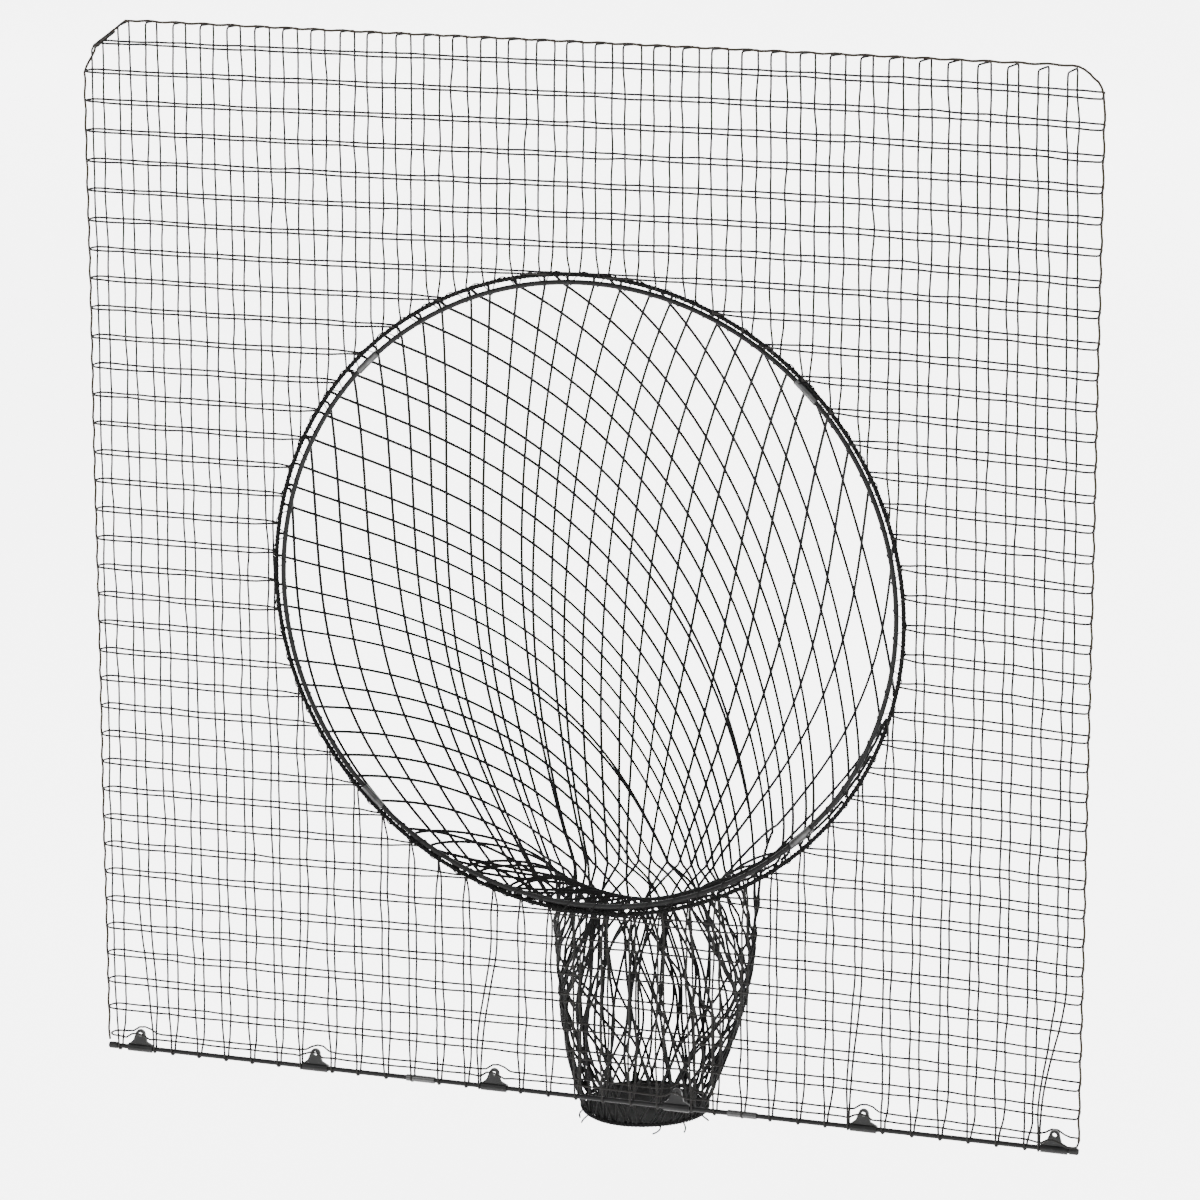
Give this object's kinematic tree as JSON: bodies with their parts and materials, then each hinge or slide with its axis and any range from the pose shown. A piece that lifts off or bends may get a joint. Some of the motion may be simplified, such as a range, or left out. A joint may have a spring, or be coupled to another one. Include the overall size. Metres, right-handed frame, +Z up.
{
  "type": "ball-catching sock net",
  "caption": "Square double-layer practice net with a hooped round mouth, a hanging net sock behind it with a drop-open base, and a lower rod with swivelling tie clips.",
  "frame": {"origin": "middle of the top fold, on the axis of the frame tube that the net hangs on", "axes": "+X to the right seen from the front, +Y behind the panel, where the sock hangs, +Z up"},
  "size_m": [2.055, 0.5248, 2.2497],
  "materials": {
    "panel_twine": "matt twisted nylon",
    "sock_twine": "matt twisted nylon",
    "brown_cord": "matt",
    "black_rope": "matt",
    "fibreglass": "satin",
    "ferrule": "satin",
    "cap_rubber": "matt",
    "clip_plastic": "satin",
    "base_cloth": "woven, matt",
    "webbing": "woven, matt",
    "rivet": "satin"
  },
  "bodies": {
    "net": {"front_net": "panel_twine", "rear_net": "panel_twine", "top_fold": "panel_twine", "left_fold": "panel_twine", "right_fold": "panel_twine", "edge_cord": "brown_cord", "mouth_rope": "black_rope", "hoop_rod_1": "fibreglass", "hoop_rod_2": "fibreglass", "hoop_rod_3": "fibreglass", "hoop_rod_4": "fibreglass", "hoop_ferrules": "ferrule", "bottom_rod_left": "fibreglass", "bottom_rod_mid": "fibreglass", "bottom_rod_right": "fibreglass", "rod_ferrules": "ferrule", "rod_end_caps": "cap_rubber", "sock_funnel": "sock_twine"},
    "clip1": {"clip_1": "clip_plastic"},
    "clip2": {"clip_2": "clip_plastic"},
    "clip3": {"clip_3": "clip_plastic"},
    "clip4": {"clip_4": "clip_plastic"},
    "clip5": {"clip_5": "clip_plastic"},
    "clip6": {"clip_6": "clip_plastic"},
    "sock": {"sock_tube": "sock_twine", "hem_cord": "black_rope", "flap_hinge_tape": "webbing"},
    "flap": {"base_flap": "base_cloth", "pull_tab": "webbing", "tab_rivet": "rivet"}
  },
  "joints": [
    {"name": "clip_1_turn", "type": "hinge", "parent": "net", "child": "clip1", "pos_m": [-0.954, 0, -2.114], "axis": [1, 0, 0], "range_deg": [-20, 20]},
    {"name": "clip_2_turn", "type": "hinge", "parent": "net", "child": "clip2", "pos_m": [-0.568, 0, -2.114], "axis": [1, 0, 0], "range_deg": [-20, 20]},
    {"name": "clip_3_turn", "type": "hinge", "parent": "net", "child": "clip3", "pos_m": [-0.182, 0, -2.114], "axis": [1, 0, 0], "range_deg": [-20, 20]},
    {"name": "clip_4_turn", "type": "hinge", "parent": "net", "child": "clip4", "pos_m": [0.204, 0, -2.114], "axis": [1, 0, 0], "range_deg": [-20, 20]},
    {"name": "clip_5_turn", "type": "hinge", "parent": "net", "child": "clip5", "pos_m": [0.59, 0, -2.114], "axis": [1, 0, 0], "range_deg": [-20, 20]},
    {"name": "clip_6_turn", "type": "hinge", "parent": "net", "child": "clip6", "pos_m": [0.976, 0, -2.114], "axis": [1, 0, 0], "range_deg": [-20, 20]},
    {"name": "sock_swing", "type": "hinge", "parent": "net", "child": "sock", "pos_m": [0.078, 0.27, -1.734], "axis": [1, 0, 0], "range_deg": [-3, 8]},
    {"name": "flap_drop", "type": "hinge", "parent": "sock", "child": "flap", "pos_m": [0.054, 0.379, -2.221], "axis": [1, 0, 0], "range_deg": [0, 100]}
  ]
}
